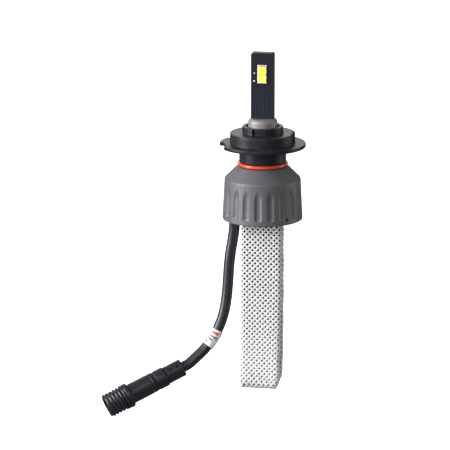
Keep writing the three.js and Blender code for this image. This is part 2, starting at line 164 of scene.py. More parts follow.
class Shader:
    """A Principled material and short ways to add nodes to it."""

    def __init__(self, name):
        self.material = bpy.data.materials.new(name)
        self.material.use_nodes = True
        self.tree = self.material.node_tree
        self.surface = self.tree.nodes["Principled BSDF"]
        self.place = self.node("ShaderNodeTexCoord").outputs["Object"]

    def node(self, kind, **settings):
        node = self.tree.nodes.new(kind)
        for key, value in settings.items():
            setattr(node, key, value)
        return node

    def link(self, source, target):
        self.tree.links.new(source, target)

    def noise(self, size, stretch=(1, 1, 1), detail=3.0):
        """Noise whose features are about size millimetres, drawn out where stretch is small."""
        mapping = self.node("ShaderNodeMapping")
        mapping.inputs["Scale"].default_value = stretch
        self.link(self.place, mapping.inputs["Vector"])
        noise = self.node("ShaderNodeTexNoise")
        noise.inputs["Scale"].default_value = 1 / (size * MM)
        noise.inputs["Detail"].default_value = detail
        self.link(mapping.outputs["Vector"], noise.inputs["Vector"])
        return noise.outputs["Fac"]

    def math(self, operation, first, second=0.0):
        node = self.node("ShaderNodeMath", operation=operation)
        for socket, value in zip(node.inputs, (first, second)):
            if isinstance(value, (int, float)):
                socket.default_value = value
            else:
                self.link(value, socket)
        return node.outputs["Value"]

    def ranged(self, value, low, high, start=0.3, end=0.7):
        """Maps value from start..end to low..high."""
        node = self.node("ShaderNodeMapRange", interpolation_type="SMOOTHSTEP")
        self.link(value, node.inputs["Value"])
        node.inputs["From Min"].default_value = start
        node.inputs["From Max"].default_value = end
        node.inputs["To Min"].default_value = low
        node.inputs["To Max"].default_value = high
        return node.outputs["Result"]

    def mixed(self, share, first, second):
        node = self.node("ShaderNodeMix", data_type="RGBA")
        self.link(share, node.inputs["Factor"])
        for socket, value in ((node.inputs[6], first), (node.inputs[7], second)):
            if isinstance(value, tuple):
                socket.default_value = (*value, 1)
            else:
                self.link(value, socket)
        return node.outputs[2]

    def bump(self, height, depth, strength=1.0):
        """Bumps of up to depth millimetres."""
        node = self.node("ShaderNodeBump")
        node.inputs["Strength"].default_value = strength
        node.inputs["Distance"].default_value = depth * MM
        self.link(height, node.inputs["Height"])
        self.link(node.outputs["Normal"], self.surface.inputs["Normal"])


def tinted(color, factor):
    return tuple(min(1.0, channel * factor) for channel in color)


def finish(name, color, roughness, metallic=0.0, grain=0.1, depth=0.01, stretch=(1, 1, 1), drift=0.12,
           coat=0.0):
    """A finish whose colour and roughness drift a little over a fine grain, sized in millimetres."""
    shader = Shader(name)
    patches = shader.noise(5.0)
    fine = shader.noise(grain, stretch)
    both = shader.math("MULTIPLY", shader.math("ADD", patches, fine), 0.5)
    color = shader.mixed(shader.ranged(both, 0, 1), tinted(color, 1 - drift), tinted(color, 1 + drift))
    shader.link(color, shader.surface.inputs["Base Color"])
    rough = shader.ranged(fine, roughness * 0.85, roughness * 1.15)
    shader.link(rough, shader.surface.inputs["Roughness"])
    shader.surface.inputs["Metallic"].default_value = metallic
    shader.surface.inputs["Coat Weight"].default_value = coat
    shader.bump(fine, depth)
    return shader


def board_finish():
    """Black solder mask with faint lengthwise traces under it on the lower half."""
    shader = finish("solder_mask", (0.006, 0.009, 0.016), 0.5, grain=0.15, depth=0.006)
    shader.surface.inputs["Specular IOR Level"].default_value = 0.3
    parts = shader.node("ShaderNodeSeparateXYZ")
    shader.link(shader.place, parts.inputs["Vector"])
    across = shader.math("MULTIPLY", parts.outputs["X"], 2 * math.pi / (1.45 * MM))
    lines = shader.math("SINE", across)
    low = shader.ranged(parts.outputs["Z"], 1, 0, 20 * MM, 22 * MM)
    traces = shader.math("MULTIPLY", shader.ranged(lines, 0, 1, 0.2, 0.5), low)
    color = shader.surface.inputs["Base Color"].links[0].from_socket
    lit = shader.mixed(traces, color, (0.012, 0.016, 0.025))
    shader.link(lit, shader.surface.inputs["Base Color"])
    return shader.material


def braid_finish():
    """Tinned wires that lie side by side in each strand."""
    shader = Shader("tinned_wire")
    uv = shader.node("ShaderNodeUVMap", uv_map="strand")
    parts = shader.node("ShaderNodeSeparateXYZ")
    shader.link(uv.outputs["UV"], parts.inputs["Vector"])
    wires = shader.math("SINE", shader.math("MULTIPLY", parts.outputs["X"], 2 * math.pi * 7))
    patches = shader.noise(6.0)
    fine = shader.noise(0.12)
    tarnish = shader.math("MULTIPLY", shader.math("ADD", patches, fine), 0.5)
    color = shader.mixed(shader.ranged(tarnish, 0, 1), (0.76, 0.75, 0.755), (0.86, 0.85, 0.86))
    # Painted shade: the colour darkens in the grooves between neighbouring wires.
    groove_shade = shader.ranged(wires, 0, 1, -1, -0.4)
    color = shader.mixed(groove_shade, (0.66, 0.64, 0.64), color)
    shader.link(color, shader.surface.inputs["Base Color"])
    shader.link(shader.ranged(fine, 0.5, 0.62), shader.surface.inputs["Roughness"])
    shader.surface.inputs["Metallic"].default_value = 0.25
    shader.bump(wires, 0.012, 0.4)
    return shader.material


def label_finish():
    """White wrap paper with plain printed bars and nothing to read."""
    shader = finish("wrap_paper", (0.86, 0.87, 0.89), 0.55, grain=0.3, depth=0.01, drift=0.03)
    uv = shader.node("ShaderNodeUVMap", uv_map="wrap")
    parts = shader.node("ShaderNodeSeparateXYZ")
    shader.link(uv.outputs["UV"], parts.inputs["Vector"])
    color = shader.surface.inputs["Base Color"].links[0].from_socket
    bars = (
        (0.13, 0.28, 0.38, 0.57, (0.70, 0.12, 0.08)),
        (0.38, 0.50, 0.38, 0.60, (0.20, 0.23, 0.29)),
        (0.56, 0.68, 0.38, 0.52, (0.20, 0.23, 0.29)),
        (0.74, 0.88, 0.34, 0.42, (0.24, 0.27, 0.33)),
    )
    for start, end, left, right, ink in bars:
        share = None
        for socket, low, high in (("Y", start, end), ("X", left, right)):
            above = shader.math("GREATER_THAN", parts.outputs[socket], low)
            below = shader.math("LESS_THAN", parts.outputs[socket], high)
            inside = shader.math("MULTIPLY", above, below)
            share = inside if share is None else shader.math("MULTIPLY", share, inside)
        color = shader.mixed(share, color, ink)
    shader.link(color, shader.surface.inputs["Base Color"])
    return shader.material


FLAT = (1, 1, 0.02)
grey_anodised = finish("grey_anodised", (0.122, 0.118, 0.128), 0.5, 0.25, grain=0.16, depth=0.014).material
spigot_grey = finish("turned_grey", (0.25, 0.225, 0.235), 0.5, 0.3, grain=0.14, depth=0.008,
                     stretch=(0.05, 0.05, 1)).material
black_anodised = finish("black_anodised", (0.014, 0.015, 0.019), 0.42, grain=0.16, depth=0.010)
black_anodised.surface.inputs["Specular IOR Level"].default_value = 0.25
black_anodised = black_anodised.material
dull_copper = finish("dull_copper", (0.11, 0.06, 0.05), 0.5, 0.6, grain=0.2).material
package_white = finish("ceramic", (0.86, 0.83, 0.76), 0.5, grain=0.1, depth=0.004, drift=0.04).material
package_tan = finish("ceramic_tan", (0.45, 0.27, 0.12), 0.55, grain=0.1, depth=0.004).material
package_brown = finish("ceramic_brown", (0.16, 0.09, 0.02), 0.6, grain=0.1, depth=0.004).material
phosphor = finish("phosphor", (0.92, 0.86, 0.09), 0.6, grain=0.07, depth=0.012, drift=0.05)
# Painted glow: a faint yellow emission brightens the unlit phosphor from within.
phosphor.surface.inputs["Emission Color"].default_value = (1.0, 0.94, 0.16, 1)
phosphor.surface.inputs["Emission Strength"].default_value = 0.22
phosphor = phosphor.material
solder = finish("solder", (0.55, 0.55, 0.57), 0.35, 0.8, grain=0.1, depth=0.01).material
seal_red = finish("red_silicone", (0.66, 0.065, 0.030), 0.34, grain=0.3, depth=0.008, drift=0.08,
                  coat=0.3).material
steel = finish("plain_steel", (0.42, 0.42, 0.43), 0.35, 0.95, grain=0.1, stretch=FLAT).material
sheath = finish("black_sheath", (0.012, 0.016, 0.022), 0.38, grain=0.12, depth=0.012, drift=0.15,
                coat=0.15).material
nylon = finish("black_nylon", (0.009, 0.011, 0.016), 0.38, grain=0.14, depth=0.012, drift=0.15).material
# Near-black finish for the black connector insert and the black-oxide set screw; on the set screw it is also
# painted shade for its hole.
bore_black = finish("bore_black", (0.010, 0.011, 0.013), 0.6, grain=0.2).material
lead_red = finish("red_insulation", (0.52, 0.03, 0.02), 0.4, grain=0.2).material
lead_black = finish("black_insulation", (0.014, 0.015, 0.017), 0.4, grain=0.2).material
brass = finish("plated_brass", (0.74, 0.52, 0.22), 0.28, 0.95, grain=0.15, depth=0.005).material
solder_mask = board_finish()
tinned_wire = braid_finish()
# Painted shade: a near-black finish for the sheet inside the braid, standing in for the shade on the inner
# wires.
painted_shade_sheet = finish("painted_shade_sheet", (0.012, 0.012, 0.013), 0.8, 0.1, grain=0.4, depth=0.05).material
wrap_paper = label_finish()


# Shapes in millimetres

def unit(vector):
    return vector / np.linalg.norm(vector)


def rounded(corners, steps=5):
    """Profile points from (radius, height, fillet) corners, with the corners rounded."""
    profile = []
    for index, (radius, height, fillet) in enumerate(corners):
        corner = np.array((radius, height), float)
        if not fillet:
            profile.append(corner)
            continue
        before = np.array(corners[index - 1][:2], float)
        after = np.array(corners[(index + 1) % len(corners)][:2], float)
        start = corner + fillet * unit(before - corner)
        end = corner + fillet * unit(after - corner)
        for t in np.linspace(0, 1, steps):
            profile.append((1 - t) ** 2 * start + 2 * t * (1 - t) * corner + t ** 2 * end)
    return profile


def refined(profile, step, loop):
    """The same profile with points no further apart than step."""
    ends = profile[1:] + (profile[:1] if loop else [])
    points = []
    for start, end in zip(profile, ends):
        count = max(1, math.ceil(np.linalg.norm(end - start) / step))
        points += [start + (end - start) * k / count for k in range(count)]
    return points if loop else points + profile[-1:]


def grid_faces(rows, columns, close_rows=False, close_columns=True):
    row = np.arange(rows if close_rows else rows - 1)[:, None]
    column = np.arange(columns if close_columns else columns - 1)[None, :]
    next_row = (row + 1) % rows
    next_column = (column + 1) % columns
    corners = [
        row * columns + column,
        row * columns + next_column,
        next_row * columns + next_column,
        next_row * columns + column,
    ]
    return np.stack(corners, -1).reshape(-1, 4).tolist()


def turned(profile, sides, shape=None, loop=False):
    """Vertices and faces of a profile turned about Z. shape(radius, height, angle) may move them."""
    radius, height = np.array(profile).T
    angle = np.arange(sides) * 2 * np.pi / sides
    radius, angle = np.meshgrid(radius, angle, indexing="ij")
    height = np.repeat(height[:, None], sides, 1)
    if shape:
        radius, height = shape(radius, height, angle)
    points = np.stack([radius * np.cos(angle), radius * np.sin(angle), height], -1).reshape(-1, 3)
    faces = grid_faces(len(profile), sides, close_rows=loop)
    if not loop:
        faces.append(list(range(sides))[::-1])
        faces.append([(len(profile) - 1) * sides + side for side in range(sides)])
    return points, faces


def piece(name, points, faces, material, slot, body="housing", stands_for=(), place=None, sharp=38,
          bevel=0.0):
    """Makes a piece from millimetres, lets it ride on a body and hides the CAD nodes it stands for."""
    mesh = bpy.data.meshes.new(name)
    mesh.from_pydata((np.asarray(points) * MM).tolist(), [], faces)
    if place:
        mesh.transform(place)
    mesh.materials.append(material)
    mesh.shade_smooth()
    mesh.set_sharp_from_angle(angle=math.radians(sharp))
    made = bpy.data.objects.new(name, mesh)
    scene.collection.objects.link(made)
    if bevel:
        add_bevel(made, bevel)
    if body:
        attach(made, body)
    if stands_for:
        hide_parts(*stands_for)
    return made


def add_bevel(made, width):
    bevel = made.modifiers.new("bevel", "BEVEL")
    bevel.width = width * MM
    bevel.segments = 3
    bevel.limit_method = "ANGLE"
    bevel.angle_limit = math.radians(35)
    bevel.harden_normals = True


def plate(outline, near, far):
    """A plate from an outline of (x, z) points, between two y values."""
    count = len(outline)
    points = [(x, y, z) for y in (near, far) for x, z in outline]
    faces = [list(range(count)), list(range(count, 2 * count))[::-1]]
    for k in range(count):
        after = (k + 1) % count
        faces.append([after, k, count + k, count + after])
    return points, faces


def smooth_path(points, spacing, dims=3):
    """Points at an even spacing along a smooth curve through the given ones, and its length."""
    p = np.array(points, float)
    p = np.vstack([2 * p[0] - p[1], p, 2 * p[-1] - p[-2]])
    t = np.linspace(0, 1, 40, endpoint=False)[:, None]
    dense = []
    for a, b, c, d in zip(p, p[1:], p[2:], p[3:]):
        cubic = (2 * a - 5 * b + 4 * c - d) + t * (3 * b - a - 3 * c + d)
        dense.append(b + 0.5 * t * ((c - a) + t * cubic))
    dense = np.vstack([*dense, p[-2:-1]])
    steps = np.linalg.norm(np.diff(dense[:, :dims], axis=0), axis=1)
    along = np.concatenate([[0], np.cumsum(steps)])
    wanted = np.linspace(0, along[-1], round(along[-1] / spacing) + 1)
    return np.stack([np.interp(wanted, along, column) for column in dense.T], 1), along[-1]


def band(angle, start, end, edge=1.2):
    """1 between two angles in degrees and 0 outside them, with a short ramp at each end."""
    middle = math.radians((start + end) / 2)
    half = math.radians((end - start) / 2)
    away = np.abs((angle - middle + np.pi) % (2 * np.pi) - np.pi)
    return np.clip((half - away) / math.radians(edge) + 0.5, 0, 1)


def stretched(radius, knots, targets):
    """Radii moved so that each knot lands on its target, and those between in proportion."""
    result = radius
    for low, high, low_target, high_target in zip(knots, knots[1:], targets, targets[1:]):
        inside = (radius > low) & (radius <= high + 1e-6)
        share = (radius - low) / (high - low)
        result = np.where(inside, low_target + share * (high_target - low_target), result)
    return result


# Emitter blade

def add_emitter(side, turn):
    place = Matrix.Rotation(turn, 4, "Z")
    half = LED_HALF_WIDTH
    notch = 0.26
    outline = [(-half, LED_TOP), (-half, LED_BOTTOM), (half, LED_BOTTOM)]
    for centre in (24.6, 26.9, 29.2):
        for angle in np.linspace(-math.pi / 2, math.pi / 2, 7):
            outline.append((half - notch * math.cos(angle), centre + notch * math.sin(angle)))
    outline.append((half, LED_TOP))
    package = plate(outline, BOARD_FACE, PACKAGE_FACE)
    piece(f"{side}_led_body", *package, package_white, "package_white", place=place, bevel=0.05,
          stands_for=[f"{side}_led_package"])
    strips = (("strip", 30.12, 1.35, 0.24, package_tan), ("dam", LED_MIDDLE, 1.45, 0.19, package_brown))
    for name, height, reach, thick, material in strips:
        corners = [(TILE_X - reach, height + thick), (TILE_X - reach, height - thick),
                   (TILE_X + reach, height - thick), (TILE_X + reach, height + thick)]
        strip = plate(corners, PACKAGE_FACE, BOARD_FACE - 0.47)
        piece(f"{side}_led_{name}", *strip, material, "package_white", place=place, bevel=0.02)
    for where, direction in (("upper", 1), ("lower", -1)):
        centre = LED_MIDDLE + direction * 1.6
        corner = 0.18
        tile = []
        for quarter, (sx, sz) in enumerate(((1, 1), (-1, 1), (-1, -1), (1, -1))):
            for angle in np.linspace(0, math.pi / 2, 5):
                bend = angle + quarter * math.pi / 2
                tile.append((TILE_X + sx * (TILE_HALF_WIDTH - corner) + corner * math.cos(bend),
                             centre + sz * (TILE_HALF_HEIGHT - corner) + corner * math.sin(bend)))
        body = plate(tile, PACKAGE_FACE, BOARD_FACE - 0.64)
        piece(f"{side}_phosphor_{where}", *body, phosphor, "phosphor", place=place, bevel=0.06,
              stands_for=[f"{side}_phosphor_tile_{where}"])
        dome = [np.array((0.36 * math.sin(t), 0.15 * math.cos(t)))
                for t in np.linspace(math.pi / 2, 0.08, 9)]
        bead, faces = turned(dome, 32)
        height = bead[:, 1] + BEAD_MIDDLE + direction * 1.5
        bead = np.stack([bead[:, 0] + BEAD_X, BOARD_FACE - bead[:, 2], height], -1)
        piece(f"{side}_solder_bead_{where}", bead, faces, solder, "solder", place=place,
              stands_for=[f"{side}_solder_pad_{where}"])


# Spigot and collar

def add_spigot():
    corners = [(0.01, -15.2, 0), (5.66, -15.2, 0.2), (5.66, 8.6, 0.5), (4.75, 9.6, 0.25), (0.01, 9.6, 0)]
    points, faces = turned(rounded(corners, 7), 160)
    made = piece("turned_spigot", points, faces, spigot_grey, "spigot_grey", stands_for=["spigot"])
    slot = plate([(-4.65, -16), (4.65, -16), (4.65, 11), (-4.65, 11)], 2.1, -2.1)
    mesh = bpy.data.meshes.new("slot_cutter")
    mesh.from_pydata((np.array(slot[0]) * MM).tolist(), [], slot[1])
    cutter = bpy.data.objects.new("slot_cutter", mesh)
    scene.collection.objects.link(cutter)
    cut = made.modifiers.new("slot", "BOOLEAN")
    cut.object = cutter
    cut.solver = "EXACT"
    shape = bpy.data.meshes.new_from_object(made.evaluated_get(bpy.context.evaluated_depsgraph_get()))
    made.modifiers.clear()
    made.data = shape
    bpy.data.objects.remove(cutter)


def collar_shape(radius, height, angle):
    """Cuts the recesses in the ring and drum and the notches in the flange, and raises a lug on it."""
    ring = RING_RADIUS - RECESS_DEPTH * band(angle, -111, -77)
    drum = DRUM_RADIUS - RECESS_DEPTH * band(angle, -17, 17)
    notches = band(angle, 133, 155) + band(angle, 188, 215)
    flange = FLANGE_RADIUS - NOTCH_DEPTH * notches
    above = stretched(radius, [BORE, RING_RADIUS, DRUM_RADIUS, FLANGE_RADIUS], [BORE, ring, drum, flange])
    below = stretched(radius, [NECK_RADIUS, FLANGE_RADIUS], [NECK_RADIUS, flange])
    on_flange = (np.abs(height) < 0.01) & (radius > DRUM_RADIUS)
    lug = band(angle, -85.6, -65.5) * np.clip((15.75 - radius) / 0.25, 0, 1)
    raised = np.where(on_flange, 0.4 * lug, 0)
    return np.where(height > -0.1, above, below), height + raised


def add_collar():
    corners = [
        (BORE, -8.6, 0.15), (8.1, -8.6, 0.15), (8.1, -7.1, 0.08), (NECK_RADIUS, -7.1, 0.12),
        (NECK_RADIUS, -FLANGE_DEPTH, 0.3), (FLANGE_RADIUS, -FLANGE_DEPTH, 0.22), (FLANGE_RADIUS, 0, 0.25),
        (15.75, 0, 0), (15.5, 0, 0), (15.1, 0, 0), (14.9, 0, 0),
        (DRUM_RADIUS, 0, 0.15), (DRUM_RADIUS - 0.1, DRUM_TOP, 0.42), (RING_RADIUS, DRUM_TOP, 0.2),
        (RING_RADIUS, RING_TOP, 0.3), (BORE, RING_TOP, 0.25),
    ]
    profile = refined(rounded(corners), 0.8, loop=True)
    points, faces = turned(profile, 600, collar_shape, loop=True)
    piece("notched_collar", points, faces, black_anodised, "black_anodised", "collar",
          stands_for=["adapter_collar"])


def torus(radius, thickness, height, sides, corners):
    angle = np.arange(corners) * 2 * np.pi / corners
    profile = list(np.stack([radius + thickness * np.cos(angle), height + thickness * np.sin(angle)], 1))
    return turned(profile, sides, loop=True)


# Housing

def flute_ends(height):
    """The flute cutter's radius at a height: full above, closing to a round end at the bottom."""
    share = np.clip((height - FLUTE_BOTTOM) / 1.3, 0, 1)
    return FLUTE_RADIUS * (1 - (1 - share) ** 3) ** (1 / 3)


def housing_shape(radius, height, angle):
    """Cuts the flutes, at an even depth down the flaring skirt, and the set screw's hole."""
    pitch = 2 * np.pi / FLUTE_COUNT
    off = (angle - math.radians(FLUTE_FIRST_ANGLE) + pitch / 2) % pitch - pitch / 2
    cutter = flute_ends(height)
    distance = FLUTE_DISTANCE - SKIRT_FLARE * (height - FLUTE_BOTTOM)
    distance = distance + 0.55 * np.clip((height - FLUTE_FADE) / 3.5, 0, 1) ** 2
    reach = np.maximum(cutter ** 2 - (distance * np.sin(off)) ** 2, 0)
    wall = distance * np.cos(off) - np.sqrt(reach)
    outside = (radius > 14.45) & (height > FLUTE_BOTTOM) & (height < -14.5)
    soft = 0.1
    gap = np.clip((radius - wall) / soft, -1, 1)
    blended = np.where(gap >= 1, wall, radius - soft * (gap + 1) ** 2 / 4)
    radius = np.where(outside & (reach > 0) & (gap > -1), blended, radius)
    across = 15.3 * ((angle - math.radians(SET_SCREW_ANGLE) + np.pi) % (2 * np.pi) - np.pi)
    hole = (np.hypot(across, height - SET_SCREW_HEIGHT) < SET_SCREW_HOLE) & (radius > 14.45)
    return np.where(hole, 14.3, radius), height


def add_housing():
    corners = [
        (5.96, -8.85, 0.2), (5.96, -15.5, 0.2), (13.6, -15.5, 0.2), (13.6, -26.4, 0.1), (14.2, -26.4, 0.1),
        (14.2, -29.6, 0.15), (15.45, -29.6, 0.4), (15.37, -28.4, 0), (15.3, -26.6, 0), (14.6, -13.7, 0.35),
        (9.7, -8.85, 0.35),
    ]
    profile = refined(rounded(corners), 0.62, loop=True)
    fine = []
    for start, end in zip(profile, profile[1:] + profile[:1]):
        fine.append(start)
        if start[0] > 15 and -28.5 < (start[1] + end[1]) / 2 < -26.4:
            fine += [start + (end - start) * k / 4 for k in (1, 2, 3)]
    points, faces = turned(fine, 640, housing_shape, loop=True)
    piece("fluted_housing", points, faces, grey_anodised, "grey_anodised", stands_for=["housing"], sharp=34)


# Braid: a flat woven tube that runs down, folds at the bottom and comes back up

def braid_path():
    """(y, z, half thickness) along the middle of the tube, from its front root to its rear root."""
    route = [
        (-2.5, -20.9, 1.6), (-2.4, -25, 1.7), (-2.25, -29, 1.9), (-2.15, -34.4, 2.0), (-2.2, -45, 2.05),
        (-2.55, -58, 2.05), (-3.0, -70, 2.05), (-3.75, -80, 1.95), (-4.7, -87, 1.8), (-5.55, -91.5, 1.5),
        (-5.95, -94.6, 1.15), (-5.3, -95.7, 1.0), (-3.6, -95.75, 1.0), (-1.6, -95.2, 1.1), (0.6, -93.9, 1.3),
        (2.3, -91.9, 1.6), (3.1, -89.2, 1.85), (3.3, -85, 2.0), (3.3, -78, 2.05), (3.2, -66, 2.05),
        (3.0, -52, 2.05), (2.7, -42, 2.05), (2.4, -34.4, 2.0), (2.3, -29, 1.9), (2.4, -25, 1.7),
        (2.5, -20.9, 1.6),
    ]
    return smooth_path(route, 0.3, dims=2)


def tube_section(corner=1.25, half_width=BRAID_WIDTH / 2 - 0.26, half_thickness=1.65):
    """(x, depth) round a flat tube from the middle of its outer face, with the share of the way round
    at each point, the whole way round and half the thickness."""
    corners = []
    for quarter, (sx, sy) in enumerate(((1, 1), (-1, 1), (-1, -1), (1, -1))):
        for angle in np.linspace(0, math.pi / 2, 9):
            bend = angle + quarter * math.pi / 2
            corners.append((sx * (half_width - corner) + corner * math.cos(bend),
                            sy * (half_thickness - corner) + corner * math.sin(bend)))
    corners = np.array(corners)
    corners = np.vstack([[0, half_thickness], corners[9:], corners[:9], [0, half_thickness]])
    steps = np.linalg.norm(np.diff(corners, axis=0), axis=1)
    along = np.concatenate([[0], np.cumsum(steps)])
    return corners, along / along[-1], along[-1], half_thickness


class Weave:
    """Points on the woven tube, by place round it (0..1), step along its path and height over it."""

    def __init__(self):
        self.path, self.length = braid_path()
        self.section, self.shares, self.girth, self.half = tube_section()
        self.tangent = np.gradient(self.path[:, :2], axis=0)
        self.tangent /= np.linalg.norm(self.tangent, axis=1)[:, None]
        self.along = np.linspace(0, self.length, len(self.path))

    def point(self, around, step, lift):
        """The tube narrows towards the fold, where its corners slope in too."""
        around = around % 1
        x = np.interp(around, self.shares, self.section[:, 0])
        depth = np.interp(around, self.shares, self.section[:, 1])
        ahead = (around + 0.002) % 1
        dx = np.interp(ahead, self.shares, self.section[:, 0]) - x
        dd = np.interp(ahead, self.shares, self.section[:, 1]) - depth
        size = np.hypot(dx, dd)
        x = x + lift * dd / size
        depth = depth - lift * dx / size
        y = np.interp(step, self.along, self.path[:, 0])
        z = np.interp(step, self.along, self.path[:, 1])
        half = np.interp(step, self.along, self.path[:, 2])
        ty = np.interp(step, self.along, self.tangent[:, 0])
        tz = np.interp(step, self.along, self.tangent[:, 1])
        depth = depth * (half - 0.35) / self.half
        x = x * (1 - 0.035 * np.clip((-60 - z) / 34, 0, 1)) + 0.07 * np.sin(z * 0.55 + y)
        x = x - np.where(x > 0, 0.16, 0.09) * x * np.clip((-91.5 - z) / 4.5, 0, 1) ** 2
        depth = depth - self.crease(x, z) * (depth > 0)
        return np.stack([x, y + depth * tz, z - depth * ty], -1)

    def crease(self, x, z):
        """Depth of the short diagonal folds near the bottom of the front run."""
        total = 0
        for offset, reach, deep in ((-1.6, -91.8, 0.4), (0.9, -92.6, 0.5), (3.2, -93.4, 0.4)):
            across = (x - offset) * 0.62 + (z - reach) * 0.78
            along = (x - offset) * 0.78 - (z - reach) * 0.62
            total = total + deep * np.exp(-(across / 0.42) ** 2 - (along / 2.6) ** 2)
        return total

    def strands(self, direction):
        """Every strand that winds round in one direction: points, faces and UVs."""
        spacing = 0.22
        count = round(self.length / spacing) + 1
        step = np.linspace(0, self.length, count)
        points, faces, uvs = [], [], []
        outline = [(0.5, 0.0), (0.41, 0.5), (-0.41, 0.5), (-0.5, 0.0), (-0.41, -0.5), (0.41, -0.5)]
        for strand in range(STRANDS):
            around = strand / STRANDS + direction * step / self.girth
            wave = direction * STRAND_WAVE * np.cos(2 * math.pi * around * STRANDS)
            middle = self.point(around, step, wave)
            up = unit_rows(self.point(around, step, wave + 0.2) - middle)
            ahead = unit_rows(np.gradient(middle, axis=0))
            side = unit_rows(np.cross(up, ahead))
            low = np.clip((-45 - middle[:, 2:]) / 45, 0, 1)
            width = STRAND_WIDTH + (STRAND_WIDTH_LOW - STRAND_WIDTH) * low
            rows = [middle + side * a * width + up * b * STRAND_THICKNESS for a, b in outline]
            base = strand * count * len(outline)
            points.append(np.stack(rows, 1).reshape(-1, 3))
            faces.append(np.array(grid_faces(count, len(outline))) + base)
            across = np.tile([a for a, _ in outline], count)
            uvs.append(np.stack([across, np.repeat(step, len(outline))], 1))
        return np.vstack(points), np.vstack(faces).tolist(), np.vstack(uvs)

    def lining(self):
        """A dark sheet inside the tube, seen only through the gaps: painted shade standing in for the shaded
        inner wires.
        """
        step = np.linspace(0.4, self.length - 0.4, 300)
        around = np.arange(60) / 60
        around, step = np.meshgrid(around, step)
        points = self.point(around.ravel(), step.ravel(), np.full(around.size, -LINING_DEPTH))
        return points, grid_faces(300, 60)


def unit_rows(vectors):
    return vectors / np.linalg.norm(vectors, axis=1)[:, None]


def paint_uv(made, name, uvs):
    layer = made.data.uv_layers.new(name=name)
    corners = np.empty(len(made.data.loops), int)
    made.data.loops.foreach_get("vertex_index", corners)
    layer.data.foreach_set("uv", uvs[corners].astype(np.float32).ravel())


def add_braid():
    weave = Weave()
    made = []
    for name, direction in (("braid_strands_left", 1), ("braid_strands_right", -1)):
        points, faces, uvs = weave.strands(direction)
        strands = piece(name, points, faces, tinned_wire, "tinned_braid", body=None, sharp=30)
        paint_uv(strands, "strand", uvs)
        made.append(strands)
    points, faces = weave.lining()
    # A near-black sheet of painted shade inside the tube, seen through the gaps between strands.
    made.append(piece("braid_shade_sheet", points, faces, painted_shade_sheet, "tinned_braid", body=None, sharp=180))
    for strands in made:
        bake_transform(strands)
        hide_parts("braid_root", "braid_strap")


# Cable, its label and the connector

def add_cable():
    path, _ = smooth_path(CABLE_ROUTE, 0.0006)
    curve = bpy.data.curves.new("cable_sheath", "CURVE")
    curve.dimensions = "3D"
    curve.bevel_depth = CABLE_DIAMETER / 2
    curve.bevel_resolution = 10
    curve.use_fill_caps = True
    spline = curve.splines.new("POLY")
    spline.points.add(len(path) - 1)
    for point, place in zip(spline.points, path):
        point.co = (*place, 1)
    curve.materials.append(sheath)
    made = bpy.data.objects.new("cable_sheath", curve)
    scene.collection.objects.link(made)
    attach(made, "housing")
    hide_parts("cable")
    return made, path


def add_label(path):
    """A paper wrap: once round the cable, with its loose end lying a little proud along one side."""
    start, end = (round(share * (len(path) - 1)) for share in LABEL_SPAN)
    centre = path[start:end + 1] / MM
    ahead = unit_rows(np.gradient(centre, axis=0))
    side = unit_rows(np.cross(ahead, np.tile([0.0, 0.0, 1.0], (len(ahead), 1))))
    up = np.cross(side, ahead)
    turns = np.linspace(0, 2 * np.pi + 0.9, 90)
    overlap = np.clip((turns - 2 * np.pi) / 0.4, 0, 1)
    loose_end = np.clip((turns - 6.75) / 0.45, 0, 1)
    lift = 0.26 + 0.10 * overlap + 0.28 * loose_end
    rows = []
    for k in range(len(centre)):
        wrinkle = 0.02 * np.sin(3 * turns + k * 0.7)
        radius = 2.12 + lift + wrinkle
        across = np.outer(radius * np.cos(turns - 0.4), side[k])
        rows.append(centre[k] + across + np.outer(radius * np.sin(turns - 0.4), up[k]))
    points = np.vstack(rows)
    faces = grid_faces(len(centre), len(turns), close_columns=False)
    made = piece("wrap_label", points, faces, wrap_paper, "label_white", stands_for=["cable_label"])
    thick = made.modifiers.new("paper", "SOLIDIFY")
    thick.thickness = 0.09 * MM
    thick.offset = 0
    around = np.tile(turns / (2 * np.pi), len(centre))
    along = np.repeat(np.linspace(0, 1, len(centre)), len(turns))
    paint_uv(made, "wrap", np.stack([around, along], 1))
    return made


def shell_shape(radius, height, angle):
    """The thread winds round the outside between the stop and the end."""
    phase = (height - THREAD_START - 0.1) / THREAD_PITCH - angle / (2 * np.pi)
    ridge = 0.5 + 0.5 * np.cos(2 * np.pi * phase)
    start = np.clip((height - THREAD_START - 0.2) / 0.5, 0, 1)
    end = np.clip((SHELL_END - 0.1 - height) / 0.4, 0, 1)
    threaded = (height > THREAD_START + 0.05) & (radius > 4.1)
    thread = THREAD_ROOT + (THREAD_CREST - THREAD_ROOT) * ridge * start * end
    return np.where(threaded, thread, radius), height


